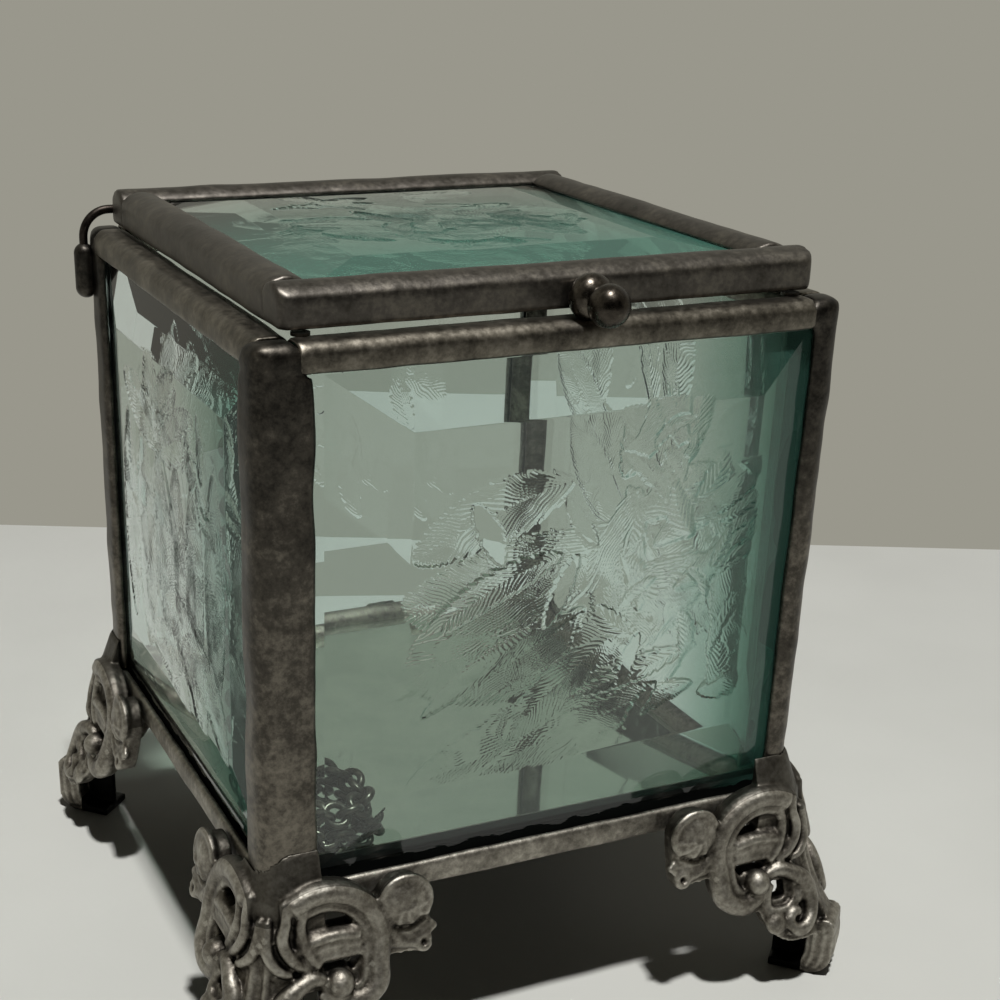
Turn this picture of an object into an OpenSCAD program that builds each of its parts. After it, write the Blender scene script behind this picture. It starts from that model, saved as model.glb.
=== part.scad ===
// Glass keepsake casket: bevelled panes soldered at their edges, a hinged
// lid, a mirror floor and four cast openwork feet. The origin is on the
// table under the middle of the box; +Z is up and the front faces -Y.

/* [Glass] */
// Width of each wall pane, a 3 inch bevelled square
pane_w = 76.2; // [60:0.1:110]
// Height of each wall pane
pane_h = 73.8; // [60:0.1:110]
// Thickness of the glass at its edges
glass_edge = 3; // [2.5:0.1:4]
// How far the flat middle of a wall pane stands out from its edges
glass_rise = 2.2; // [1:0.1:3]
// How far the flat middle of the lid pane stands up from its edges
lid_glass_rise = 1.5; // [0.8:0.1:2]
// Width of the straight border under the solder
seat_w = 3.4; // [3:0.1:4.5]
// Width of the bevel at the left edge of a pane, seen from outside
bevel_left = 14.3; // [9:0.1:16]
// Width of the bevel at the right edge of a pane
bevel_right = 11.1; // [9:0.1:16]
// Width of the bevel at the top edge of a pane
bevel_top = 11; // [9:0.1:16]
// Width of the bevel at the bottom edge of a pane
bevel_bottom = 14.2; // [9:0.1:16]
// Width of the bevel round the lid pane
bevel_lid = 12.7; // [9:0.1:16]
// Thickness of the mirror floor
mirror_t = 3; // [2:0.1:4]

/* [Soldered frame] */
// Height of the frame's underside above the table
frame_z = 26.3; // [22:0.1:40]
// Width of the solder seam where one pane butts against the next
joint_gap = 0.4; // [0.2:0.05:0.6]
// How far the corner beads stand out from the glass
bead_proud = 1.5; // [1:0.1:2]
// Lap of a corner bead over the pane that butts there
lap_butt = 2.2; // [1.5:0.1:3]
// Lap of a corner bead over the pane that runs past
lap_end = 3.2; // [2:0.1:3.3]
// Corner radius of the posts
post_r = 3; // [2:0.1:3.5]
// Extra swelling of the front left post on its left side
swell = 1.1; // [0:0.1:1.3]
// Radius of the solder bead in each inner corner
inner_bead_r = 2.8; // [1.5:0.1:3]
// Height of the top rim
rim_h = 4; // [3.4:0.1:6]
// How far the top rim reaches in past the glass
rim_in = 1.2; // [0.6:0.1:2]
// Radius along the top edges of the rim
rim_r = 1.9; // [1:0.1:1.95]
// Solder over the top edge of the glass
rim_cover = 0.8; // [0.5:0.1:1.2]
// Solder under the bottom edge of the glass
sill_cover = 2.8; // [2.2:0.1:4]
// Lap of the bottom bead up the outside of the glass
sill_lap = 1.3; // [0.6:0.1:2]
// Width of the ledge that carries the mirror
ledge_w = 2.8; // [1.5:0.1:5]
// Height of the inner seams above the mirror
seam_r = 2.2; // [1:0.1:2.7]
// Clearance between the mirror and the walls
mirror_fit = 0.1; // [0.05:0.05:0.4]

/* [Lid] */
// Half of the outside width of the lid
lid_half = 37.8; // [30:0.1:37.8]
// Gap between the top rim and the lid's underside
lid_gap = 0.7; // [0.5:0.1:1.2]
// Clearance left over the solder dots that the lid rests on
rest_fit = 0.3; // [0.3:0.05:0.35]
// Width of the lid's edge came
came_w = 6.4; // [5:0.1:8]
// Height of the came's outer face
came_h = 3.8; // [3.6:0.1:5]
// Crown of the came above its outer face
came_crown = 1.5; // [0.8:0.1:2]
// Metal under the lid pane
came_floor = 0.5; // [0.4:0.1:0.8]
// Radius of the rounded ends of the front came
came_end_r = 1.6; // [0.5:0.1:2.5]

/* [Knob] */
// Diameter of the ball knob
knob_d = 7.7; // [5:0.1:8]
// Diameter of the solder collar behind the ball
collar_d = 6; // [4:0.1:6.4]
// Length of the collar
collar_l = 2.4; // [2.2:0.1:4]
// Least clearance between the ball and the top rim
knob_fit = 0.4; // [0.3:0.1:0.9]
// The ball's offset to the right of the middle
knob_x = 2.4; // [-5:0.1:5]

/* [Hinge] */
// Diameter of the hinge wire
wire_d = 1.3; // [1:0.1:1.5]
// Radial clearance between the wire and its tube
wire_fit = 0.06; // [0.03:0.01:0.09]
// Outside diameter of the hinge tube
tube_d = 2.8; // [2.4:0.1:3]
// Length of the hinge tube
tube_l = 73; // [40:1:73]
// Height of the hinge axis above the lid's underside
axis_up = 1.7; // [1.5:0.1:2.2]
// Length of the wire's legs down the rear posts
leg_l = 7; // [4:0.5:15]
// Gap between the wire's legs and the posts
leg_gap = 0.15; // [0.1:0.05:0.3]
// Radius of the wire's bends
bend_r = 4.1; // [4:0.1:5]
// Radius of the solder that holds each leg
blob_r = 1.6; // [1.2:0.1:2]

/* [Feet] */
// Radius of the outward curve of a foot, seen from the side
flare_r = 50; // [40:1:70]
// Stand-off of the foot's face from the corner beads, under the frame
foot_stand = 2.3; // [1.4:0.1:3]
// Thickness of the openwork wings
wing_t = 2.2; // [1.4:0.1:3]
// Middle of the C scroll, measured in from the corner of the box
scroll_in = 6.3; // [6:0.1:8]
// Drop of the C scroll's middle below the frame's underside
scroll_drop = 3.8; // [3:0.1:5]
// Outer radius of the C scroll
scroll_r = 9.4; // [8:0.1:10]
// Width of the scroll's grooved band
scroll_band = 4.1; // [3:0.1:4.6]
// Radius of the round ribs that stand on the scrolls
rib_r = 0.8; // [0.5:0.05:0.85]
// Distance of a rib's middle from the edge of its scroll
rib_in = 1.2; // [1:0.05:1.3]
// Radius of the curl that ends the C scroll
curl_r = 5.7; // [4.5:0.1:6]
// Radius of the ball in the curl
berry_r = 2.1; // [1.2:0.1:2.4]
// Radius of the lower volute
volute_r = 5.9; // [5:0.1:6.5]
// Radius of the shell on the tail leaf
leaf_r = 3.9; // [3.4:0.1:4.6]
// Width of the ridge down the corner
ridge_w = 4.2; // [3:0.1:6]
// Thickness of the ridge
ridge_t = 3.4; // [2.4:0.1:4.5]
// Reach of the toe, measured out along the diagonal from the box's middle
toe_reach = 68.6; // [66:0.1:71]
// Width of the toe
toe_w = 6.8; // [5:0.1:9]
// Height of the toe's knuckle
toe_h = 10; // [9:0.1:11]
// Radius under the toe
toe_r = 3.8; // [2.5:0.1:4.5]
// Thickness of the toe's front wall
toe_wall = 4.2; // [2.5:0.1:5]
// Thickness of the sole
sole_t = 1.4; // [1:0.1:2.5]
// Length of the sole under the hollow
sole_l = 9.5; // [6:0.1:11]
// Thickness of the web inside the hollow toe
toe_web = 0.9; // [0.6:0.1:1.5]
// Height of the foot's collar above the frame's underside
skirt_h = 9.6; // [6:0.1:14]
// How far the collar swells out from the post
skirt_out = 2.7; // [1.5:0.1:3.5]
// How far the collar reaches along the walls
skirt_reach = 3.8; // [3:0.1:6.5]

/* [Stay chain] */
// Mean radius of one chain link
link_r = 1.5; // [1.45:0.01:1.55]
// Radius of the link wire
link_wire_r = 0.38; // [0.3:0.01:0.38]
// Distance from link to link
link_pitch = 2; // [1.95:0.01:2.05]
// Distance of the hanging run from the left wall
chain_gap = 2.6; // [2.5:0.1:3]
// Distance of the hanging run from the front wall
chain_back = 16.3; // [16:0.1:18]
// Links in the hanging run, at a pitch of 2 mm
run_links = 30; // [8:1:30]
// Links that lie between the run and the heap
lead_links = 2; // [2:1:3]
// Links in the heap on the mirror
heap_links = 26; // [8:1:30]
// Radius of the heap's turns
heap_r = 4.9; // [4.8:0.1:5]
// Rise of the heap with each turn
heap_rise = 3.3; // [3.2:0.1:3.8]

/* [Hidden] */
$fn = 64;
far = 400;

glass_out = (pane_w + glass_edge + joint_gap) / 2;
glass_in = glass_out - glass_edge;
metal_out = glass_out + bead_proud;
glass_z = frame_z + sill_cover;
glass_top = glass_z + pane_h;
rim_top = glass_top + rim_cover;
rim_z = rim_top - rim_h;
rim_inner = glass_in - rim_in;
mirror_half = glass_in - mirror_fit;
mirror_z = frame_z + 1.4;
mirror_top = mirror_z + mirror_t;
sill_top = glass_z + sill_lap;

lid_z = rim_top + lid_gap;
lid_glass_z = lid_z + came_floor;
lid_opening = lid_half - came_w;
lid_glass_half = lid_opening + seat_w;
crown_r = (came_w * came_w / 4 + came_crown * came_crown) / (2 * came_crown);

ball_r = knob_d / 2;
knob_z = lid_z + 0.6 * came_h;
rim_clear = ball_r + rim_r + knob_fit;
rim_drop = knob_z - rim_top + rim_r;
ball_y = -max(lid_half + collar_l + ball_r * 0.88,
              metal_out - rim_r + sqrt(rim_clear * rim_clear - rim_drop * rim_drop));
collar_reach = -ball_y - ball_r * 0.88 - lid_half;

axis_y = lid_half + tube_d / 2;
axis_z = lid_z + axis_up;
leg_x = metal_out + wire_d / 2 + leg_gap;
wire_half = leg_x - bend_r;

corner_axis = metal_out - 1.5;
flare_z = frame_z + 7.2;
flare_out = metal_out + foot_stand + flare_r;
scroll_z = frame_z - scroll_drop;
scroll_inner = scroll_r - scroll_band;
curl_in = scroll_in + 3.3;
curl_z = scroll_z - 3.7;
bar_low = scroll_z - 1.8;
bar_high = scroll_z + 2.8;
volute_in = 1.5;
volute_z = scroll_z - 8.4;
leaf_in = scroll_in + 11.8;
leaf_z = scroll_z + 4;
ridge_r = 0.8 * flare_r;
ridge_top = [sheet_out(frame_z - 6.6) * sqrt(2) - 2.6, frame_z - 6.6];
ridge_foot = [toe_reach, toe_h - 1.8];
ridge_way = ridge_foot - ridge_top;
ridge_side = [-ridge_way[1], ridge_way[0]] / norm(ridge_way);
ridge_axis = (ridge_top + ridge_foot) / 2
             + ridge_side * sqrt(ridge_r * ridge_r - ridge_way * ridge_way / 4);

run_count = round(run_links * 2 / link_pitch);
chain_z = mirror_top + link_r * sin(45) + link_wire_r + 0.1;
run_at = [-glass_in + chain_gap, -glass_in + chain_back];
lead_turn = -76;
bend_links = 4;
bend_step = 90 / bend_links;
chain_bend_r = link_pitch / (2 * sin(bend_step / 2));
heap_step = 2 * asin(link_pitch / (2 * heap_r));

// One side of the box, counted from the front anticlockwise from above
module side(k) {
    rotate([0, 0, 90 * k]) children();
}

// Outline of a bevelled pane in section: flat back, raised middle
module pane_section(width, low, high, rise) {
    polygon([
        [0, 0], [width, 0], [width, glass_edge], [width - seat_w, glass_edge],
        [width - high, glass_edge + rise], [low, glass_edge + rise],
        [seat_w, glass_edge], [0, glass_edge]
    ]);
}

// Bevelled pane standing on its lower edge, its raised face towards -Y
module bevelled_pane(width, height, bevels, rise) {
    intersection() {
        linear_extrude(height)
            mirror([0, 1])
                pane_section(width, bevels[0], bevels[1], rise);
        rotate([90, 0, 90])
            linear_extrude(width)
                rotate(90)
                    pane_section(height, bevels[2], bevels[3], rise);
    }
}

// Wall pane in its place: its left end butts, its right end runs past
module placed_pane(k) {
    side(k)
        translate([-glass_in + joint_gap, -glass_in, glass_z])
            bevelled_pane(pane_w, pane_h, [bevel_left, bevel_right, bevel_bottom, bevel_top], glass_rise);
}

module wall_pane(k) {
    color("#9fb9ab", 0.6) placed_pane(k);
}

// Room that the four wall panes take at their borders
module glass_room(from_z, to_z) {
    for (k = [0:3])
        side(k)
            translate([-glass_in + joint_gap, -glass_out, from_z])
                cube([pane_w, glass_edge, to_z - from_z]);
}

module mirror_floor() {
    color("#75836f")
        translate([-mirror_half, -mirror_half, mirror_z])
            cube([2 * mirror_half, 2 * mirror_half, mirror_t]);
}

// Rectangle between two corners with its four corners rounded
module rounded_box(low, high, r) {
    translate([low[0] + r, low[1]])
        square([high[0] - low[0] - 2 * r, high[1] - low[1]]);
    translate([low[0], low[1] + r])
        square([high[0] - low[0], high[1] - low[1] - 2 * r]);
    for (x = [low[0] + r, high[0] - r])
        for (y = [low[1] + r, high[1] - r])
            translate([x, y]) circle(r);
}

// Outside of the corner bead, before the glass is taken from it
module bead_outline(extra) {
    low = [-metal_out - extra, -metal_out];
    high = [-glass_in + joint_gap + lap_butt, -glass_out + lap_end + 2 * extra];
    difference() {
        intersection() {
            rounded_box(low, high, bead_proud - 0.2);
            corner_outline(extra);
        }
        translate([-glass_in, -glass_in]) square(far);
    }
}

// Section of the top rim: x runs outwards, y is the height over the table
module rim_section(inner, outer) {
    low_r = 0.8;
    translate([inner, rim_z + low_r]) square([outer - inner, rim_h - low_r - rim_r]);
    translate([inner + rim_r, rim_top - rim_r]) square([outer - inner - 2 * rim_r, rim_r]);
    translate([inner + low_r, rim_z]) square([outer - inner - 2 * low_r, rim_h - rim_r]);
    for (x = [inner + rim_r, outer - rim_r])
        translate([x, rim_top - rim_r]) circle(rim_r);
    for (x = [inner + low_r, outer - low_r])
        translate([x, rim_z + low_r]) circle(low_r);
}

// A section drawn outwards and up, run along the front from x = from to x = to
module along_front(from, to) {
    translate([from, 0, 0])
        rotate([90, 0, -90])
            mirror([0, 0, 1])
                linear_extrude(to - from)
                    children();
}

// Corner post: solder bead outside, seam between the panes, bead inside
module post(k, extra = 0) {
    color("#4d4842")
        side(k)
            difference() {
                union() {
                    translate([0, 0, sill_top])
                        linear_extrude(rim_z - sill_top)
                            bead_outline(extra);
                    translate([-glass_in, -glass_in, mirror_top + seam_r])
                        cylinder(r = inner_bead_r, h = rim_z - mirror_top - seam_r);
                    translate([-glass_in, -glass_out, sill_top])
                        cube([joint_gap, glass_edge, rim_z - sill_top]);
                    intersection() {
                        along_front(-metal_out - extra, -rim_inner)
                            rim_section(rim_inner, metal_out);
                        rotate([0, 0, -90])
                            along_front(-far, far)
                                rim_section(rim_inner, metal_out + extra);
                        linear_extrude(far) corner_outline(extra);
                    }
                }
                for (pane = [-1, 0])
                    placed_pane(pane);
            }
}

// Straight stretch of the top rim between two posts
module top_rim(k) {
    color("#55504a")
        difference() {
            side(k)
                along_front(-rim_inner, rim_inner)
                    rim_section(rim_inner, metal_out);
            glass_room(0, glass_top);
        }
}

// Bottom rim: bead outside the glass, sill under it, ledge under the mirror
module bottom_rim(k) {
    color("#77716a")
        side(k)
            intersection() {
                along_front(-metal_out, metal_out)
                    difference() {
                        union() {
                            translate([glass_in - ledge_w, frame_z])
                                square([glass_out + 0.4 - glass_in + ledge_w, sill_top - frame_z]);
                            rounded_box([glass_out - 3, frame_z], [metal_out - 0.2, sill_top], 1);
                        }
                        translate([glass_in, glass_z]) square([glass_edge, far]);
                        translate([0, mirror_z]) square([glass_in, far]);
                        translate([glass_out, sill_top - 0.4]) square([0.4, 1]);
                    }
                rotate([0, 0, 45])
                    mirror([1, 1, 0])
                        cube(far);
                linear_extrude(far)
                    rounded_box([-metal_out, -metal_out], [metal_out, metal_out], post_r);
            }
}

// Inner seam: quarter bead in the angle of wall and mirror
module inner_seam(k) {
    color("#5b564f")
        side(k)
            intersection() {
                along_front(-glass_in, glass_in)
                    intersection() {
                        translate([glass_in, mirror_top]) circle(seam_r);
                        translate([0, mirror_top]) square([glass_in, far]);
                    }
                rotate([0, 0, 45])
                    mirror([1, 1, 0])
                        cube(far);
            }
}

// Collar that wraps the post above the foot, drawn as its swelling section
module skirt_section() {
    top = frame_z + skirt_h;
    knee = frame_z + 3.2;
    foot = frame_z - 1.2;
    difference() {
        polygon([
            [-post_r, foot], [skirt_out, foot], [skirt_out + 0.2, frame_z + 1.5], [skirt_out, knee],
            [skirt_out - 0.9, knee + 2.2], [0.5, top - 0.6], [0.1, top], [-post_r, top]
        ]);
        translate([-post_r - 1, 0]) square([post_r + 1, far]);
    }
}

module skirt() {
    axis = metal_out - post_r;
    translate([-axis, -axis, 0])
        rotate([0, 0, 180])
            rotate_extrude(angle = 90)
                translate([post_r, 0]) skirt_section();
    for (turn = [0, 1])
        mirror([turn, -turn, 0])
            along_front(-axis, -axis + skirt_reach)
                translate([metal_out, 0]) skirt_section();
}

// How far out the foot's face lies at a height, and how much it leans there
function sheet_out(z) = flare_out - sqrt(flare_r * flare_r - (flare_z - z) * (flare_z - z));
function sheet_lean(z) = asin((flare_z - z) / flare_r);

// Section of the curved sheet that the openwork is cut from
module sheet_section(low, high) {
    intersection() {
        difference() {
            translate([flare_out, flare_z]) circle(flare_r + wing_t, $fn = 240);
            translate([flare_out, flare_z]) circle(flare_r, $fn = 240);
        }
        translate([0, low]) square([flare_out - flare_r / 2, high - low]);
    }
}

module scroll_window() {
    translate([scroll_in, scroll_z]) circle(scroll_inner);
}

// Outline of one wing with its pierced windows: x runs in from the corner
module wing_outline() {
    berry_z = bar_low - berry_r - 0.5;
    difference() {
        union() {
            translate([scroll_in, scroll_z]) circle(scroll_r);
            translate([curl_in, curl_z]) circle(curl_r);
            translate([volute_in, volute_z]) circle(volute_r);
            translate([0, volute_z]) square([scroll_in, scroll_r]);
            leaf_outline();
        }
        intersection() {
            scroll_window();
            translate([scroll_in - 1.4, bar_high]) square(scroll_r);
        }
        difference() {
            intersection() {
                scroll_window();
                translate([scroll_in - 0.4, bar_low - scroll_r]) square([scroll_r, scroll_r]);
            }
            translate([scroll_in + 1.6, berry_z]) circle(berry_r);
            translate([scroll_in - 1, berry_z - scroll_r]) square([scroll_r, scroll_r]);
        }
        rounded_box([volute_in + 1.2, volute_z + 0.3], [volute_in + 3.9, volute_z + 3], 0.7);
    }
}

// Tail leaf beside the scroll, with a round shell above and a curled tip
module leaf_outline() {
    tip = [leaf_in + 2.4, leaf_z - 6];
    translate([leaf_in, leaf_z]) circle(leaf_r);
    translate([leaf_in - 0.8, leaf_z - leaf_r]) circle(leaf_r * 0.8);
    translate(tip) circle(1.3);
    polygon([
        [leaf_in - 6, leaf_z + 0.4], [leaf_in, leaf_z + leaf_r - 0.4], [leaf_in + leaf_r - 0.1, leaf_z],
        tip + [1.3, 0], tip + [-0.3, -1.2], [leaf_in - 6, leaf_z - 6.4]
    ]);
}

// Puts a piece on the foot's face at a distance in from the corner and a
// height, leaning as the face leans there
module on_face(c, z) {
    translate([-metal_out + c, -sheet_out(z), z])
        rotate([-sheet_lean(z), 0, 0])
            children();
}

// Round rib along an arc on the face, its angles counted from the inward side
module arc_rib(radius, from, to) {
    rotate([90, 0, 0])
        rotate(from)
            rotate_extrude(angle = to - from) translate([radius, 0]) circle(rib_r);
}

// Ribs, cross bars and shell that stand on the wing's face
module wing_relief() {
    bars = 3;
    on_face(scroll_in, scroll_z) {
        arc_rib(scroll_r - rib_in, -14, 112);
        arc_rib(scroll_inner + rib_in, -8, 108);
    }
    on_face(curl_in, curl_z) arc_rib(curl_r - rib_in, -150, -22);
    on_face(volute_in, volute_z) arc_rib(volute_r - rib_in, -62, 40);
    for (i = [0:bars - 1])
        on_face(ridge_w / 2, bar_low + (i + 0.5) * (bar_high - bar_low) / bars)
            rotate([0, 90, 0])
                cylinder(r = rib_r, h = scroll_in + scroll_inner + rib_in / 2 - ridge_w / 2);
    on_face(leaf_in, leaf_z)
        intersection() {
            translate([0, leaf_r * 0.9, 0]) sphere(leaf_r * 1.3);
            rotate([90, 0, 0])
                translate([0, 0, -wing_t / 2]) cylinder(r = leaf_r - 0.35, h = leaf_r);
        }
}

// Side view of the toe: a knuckle above, a round front and a flat sole
module toe_outline() {
    knuckle = 1.6;
    translate([toe_reach - toe_r, toe_r]) circle(toe_r);
    translate([toe_reach - toe_wall, toe_r]) square([toe_wall, toe_h - toe_r - knuckle]);
    translate([toe_reach - knuckle, toe_h - knuckle]) circle(knuckle);
    translate([toe_reach - sole_l, 0]) square([sole_l - toe_r, toe_h - 1]);
}

module toe_hollow() {
    round_r = toe_r - sole_t;
    high = volute_z - volute_r + 0.4;
    edge = toe_reach - toe_wall;
    translate([edge - round_r, sole_t + round_r]) circle(round_r);
    translate([edge - far, sole_t + round_r]) square([far, high - sole_t - round_r]);
    translate([edge - round_r - far, sole_t]) square([far, high - sole_t]);
}

// Side view of the ridge: a band along the foot's outward curve
module ridge_outline() {
    intersection() {
        difference() {
            translate(ridge_axis) circle(ridge_r + ridge_t, $fn = 240);
            translate(ridge_axis) circle(ridge_r, $fn = 240);
        }
        translate([0, toe_h - 2]) square([ridge_axis[0] - ridge_r / 2, frame_z + 1 - toe_h]);
    }
}

// The ridge down the corner and the rolled toe, drawn out along the diagonal
module ridge_and_toe() {
    rotate([0, 0, 225])
        rotate([90, 0, 0])
            difference() {
                union() {
                    linear_extrude(ridge_w, center = true) ridge_outline();
                    linear_extrude(toe_w, center = true) toe_outline();
                }
                for (turn = [0, 1])
                    mirror([0, 0, turn])
                        translate([0, 0, toe_web / 2])
                            linear_extrude(toe_w) toe_hollow();
            }
}

module foot(k, extra = 0) {
    low = volute_z - volute_r;
    reach = leaf_in + 2 * leaf_r;
    color("#7d776e")
        side(k)
            difference() {
                union() {
                    skirt();
                    ridge_and_toe();
                    translate([-corner_axis, -corner_axis, 0])
                        rotate([0, 0, 180])
                            rotate_extrude(angle = 90)
                                translate([-corner_axis, 0]) sheet_section(low, frame_z);
                    for (turn = [0, 1])
                        mirror([turn, -turn, 0]) {
                            intersection() {
                                along_front(-corner_axis, -corner_axis + reach)
                                    sheet_section(low - 1, frame_z + 8);
                                translate([-metal_out, 0, 0])
                                    rotate([90, 0, 0])
                                        linear_extrude(far) wing_outline();
                            }
                            wing_relief();
                        }
                }
                foot_clearance(extra);
            }
}

// Quarter plane that the box fills at a corner, with the corner rounded
module corner_outline(extra) {
    translate([-metal_out - extra + post_r, -metal_out]) square(far);
    translate([-metal_out - extra, -metal_out + post_r]) square(far);
    translate([-metal_out - extra + post_r, -metal_out + post_r]) circle(post_r);
}

// Room of the soldered box that a foot wraps round
module foot_clearance(extra) {
    translate([0, 0, frame_z])
        linear_extrude(far) corner_outline(0);
    translate([0, 0, sill_top])
        linear_extrude(far) corner_outline(extra);
}

// Solder dot on the front rim that the lid comes down on
module lid_rest(sign) {
    color("#5b564f")
        translate([sign * (lid_half - 3), -lid_half + 1, rim_top])
            cylinder(d = 2.4, h = lid_gap - rest_fit);
}

module hinge_wire() {
    color("#3b3733") {
        translate([-wire_half, axis_y, axis_z])
            rotate([0, 90, 0]) cylinder(d = wire_d, h = 2 * wire_half);
        for (turn = [0, 1])
            mirror([turn, 0, 0]) {
                translate([wire_half, axis_y, axis_z - bend_r])
                    rotate([90, 0, 0])
                        rotate_extrude(angle = 90) translate([bend_r, 0]) circle(d = wire_d);
                translate([leg_x, axis_y, axis_z - bend_r - leg_l])
                    cylinder(d = wire_d, h = leg_l);
            }
    }
}

// Solder that holds one leg of the wire to its rear post
module hinge_solder(turn) {
    low = axis_z - bend_r - leg_l - 0.6;
    high = axis_z - bend_r - 2.4;
    color("#4d4842")
        mirror([turn, 0, 0])
            difference() {
                translate([leg_x, axis_y, 0]) {
                    translate([0, 0, low]) cylinder(r = blob_r, h = high - low);
                    for (z = [low, high])
                        translate([0, 0, z]) sphere(blob_r);
                }
                translate([leg_x, axis_y, axis_z - bend_r - leg_l - 0.02])
                    cylinder(d = wire_d + 0.04, h = far);
                linear_extrude(far)
                    intersection() {
                        square(metal_out);
                        union() {
                            square([metal_out - post_r, metal_out]);
                            square([metal_out, metal_out - post_r]);
                            translate([metal_out - post_r, metal_out - post_r]) circle(post_r);
                        }
                    }
            }
}

module lid_pane() {
    color("#9fb9ab", 0.6)
        translate([-lid_glass_half, -lid_glass_half, lid_glass_z])
            translate([0, 2 * lid_glass_half, 0])
                rotate([-90, 0, 0])
                    mirror([0, 0, 1])
                        lid_pane_standing();
}

// The lid pane before it is laid down
module lid_pane_standing() {
    size = 2 * lid_glass_half;
    bevelled_pane(size, size, [bevel_lid, bevel_lid, bevel_lid, bevel_lid], lid_glass_rise);
}

// Section of the lid's edge came: square outside, crowned top
module came_section() {
    translate([lid_opening, lid_z]) square([came_w, came_h]);
    intersection() {
        translate([lid_half - came_w / 2, lid_z + came_h + came_crown - crown_r]) circle(crown_r);
        translate([lid_opening, lid_z]) square([came_w, far]);
    }
}

// Length of came with the slot that the lid pane's border sits in
module came(k, half_length) {
    side(k)
        difference() {
            along_front(-half_length, half_length) came_section();
            translate([-lid_glass_half, -lid_glass_half, lid_glass_z])
                cube([2 * lid_glass_half, 2 * lid_glass_half, glass_edge]);
        }
}

module lid_came_front() {
    color("#4d4842")
        intersection() {
            came(0, lid_half);
            linear_extrude(far)
                rounded_box([-lid_half, -lid_half], [lid_half, 0], came_end_r);
        }
}

module lid_came_rear() {
    color("#4d4842") came(2, lid_half);
}

module lid_came_side(k) {
    color("#4d4842") came(k, lid_opening);
}

// Tube along the lid's rear edge with the fillet of solder that holds it
module hinge_tube() {
    color("#45413c")
        translate([-tube_l / 2, 0, 0])
            rotate([90, 0, 90])
                linear_extrude(tube_l)
                    difference() {
                        union() {
                            translate([axis_y, axis_z]) circle(d = tube_d);
                            translate([lid_half, axis_z - tube_d * 0.35]) square([tube_d / 2, tube_d * 0.7]);
                        }
                        translate([axis_y, axis_z]) circle(d = wire_d + 2 * wire_fit);
                    }
}

module knob_collar() {
    color("#5b564f")
        difference() {
            translate([knob_x, -lid_half, knob_z])
                rotate([90, 0, 0]) {
                    cylinder(d = collar_d, h = collar_reach * 0.4);
                    translate([0, 0, collar_reach * 0.4])
                        cylinder(d1 = collar_d, d2 = collar_d * 0.5, h = collar_reach * 0.6);
                }
            translate([knob_x, ball_y, knob_z]) sphere(ball_r);
        }
}

module knob_ball() {
    color("#6b655d")
        translate([knob_x, ball_y, knob_z])
            sphere(ball_r);
}

// One round link: heading and climb say which way the chain runs through it
module link(at, heading, climb, roll) {
    translate(at)
        rotate([0, -climb, heading])
            rotate([roll, 0, 0])
                rotate_extrude($fn = 24) translate([link_r, 0]) circle(link_wire_r, $fn = 16);
}

// A point that lies so far along the lead, and so far to its left
function lead_point(along, left) = [
    run_at[0] + along * cos(lead_turn) - left * sin(lead_turn),
    run_at[1] + along * sin(lead_turn) + left * cos(lead_turn)
];

// Chain of round links: a run down the left wall, a bend at its foot, a
// short lead towards the front, and a heap in the corner that winds up
module stay_chain() {
    lead_start = chain_bend_r;
    heap_start = lead_start + lead_links * link_pitch;
    color("#8a847b") {
        for (i = [0:run_count - 1])
            link(concat(run_at, chain_z + chain_bend_r + i * link_pitch), lead_turn, -90, i % 2 == 0 ? 45 : -45);
        for (i = [1:bend_links]) {
            turned = i * bend_step;
            link(concat(lead_point(chain_bend_r * (1 - cos(turned)), 0), chain_z + chain_bend_r * (1 - sin(turned))),
                 lead_turn, turned - 90, i % 2 == 0 ? 45 : -45);
        }
        for (i = [1:lead_links])
            link(concat(lead_point(lead_start + i * link_pitch, 0), chain_z),
                 lead_turn, 0, (i + bend_links) % 2 == 0 ? 45 : -45);
        for (i = [1:heap_links]) {
            turned = i * heap_step;
            link(concat(lead_point(heap_start + heap_r * sin(turned), heap_r * (1 - cos(turned))),
                        chain_z + heap_rise * turned / 360),
                 lead_turn + turned, 0, (i + bend_links + lead_links) % 2 == 0 ? 45 : -45);
        }
    }
}

// Drop of solder that ties the top link to the underside of the left rim
module chain_solder() {
    top_z = chain_z + chain_bend_r + (run_count - 1) * link_pitch;
    drop_r = 1.3;
    neck_r = 0.7;
    color("#5b564f")
        difference() {
            union() {
                translate([-glass_in + drop_r + 0.05, run_at[1], top_z + link_r + 0.7]) sphere(drop_r);
                translate([-glass_in + neck_r + 0.1, run_at[1], top_z + link_r + 0.7])
                    cylinder(r = neck_r, h = rim_z - 0.02 - top_z - link_r - 0.7);
            }
            link(concat(run_at, top_z), lead_turn, -90, (run_count - 1) % 2 == 0 ? 45 : -45);
        }
}

wall_pane(0);  // pane_front
wall_pane(1);  // pane_right
wall_pane(2);  // pane_rear
wall_pane(3);  // pane_left
mirror_floor();
post(0, swell);  // post_front_left
post(1);  // post_front_right
post(2);  // post_rear_right
post(3);  // post_rear_left
top_rim(0);  // top_rim_front
top_rim(1);  // top_rim_right
top_rim(2);  // top_rim_rear
top_rim(3);  // top_rim_left
bottom_rim(0);  // bottom_rim_front
bottom_rim(1);  // bottom_rim_right
bottom_rim(2);  // bottom_rim_rear
bottom_rim(3);  // bottom_rim_left
inner_seam(0);  // inner_seam_front
inner_seam(1);  // inner_seam_right
inner_seam(2);  // inner_seam_rear
inner_seam(3);  // inner_seam_left
foot(0, swell);  // foot_front_left
foot(1);  // foot_front_right
foot(2);  // foot_rear_right
foot(3);  // foot_rear_left
lid_rest(-1);  // lid_rest_left
lid_rest(1);  // lid_rest_right
hinge_wire();
hinge_solder(1);  // hinge_solder_left
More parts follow.
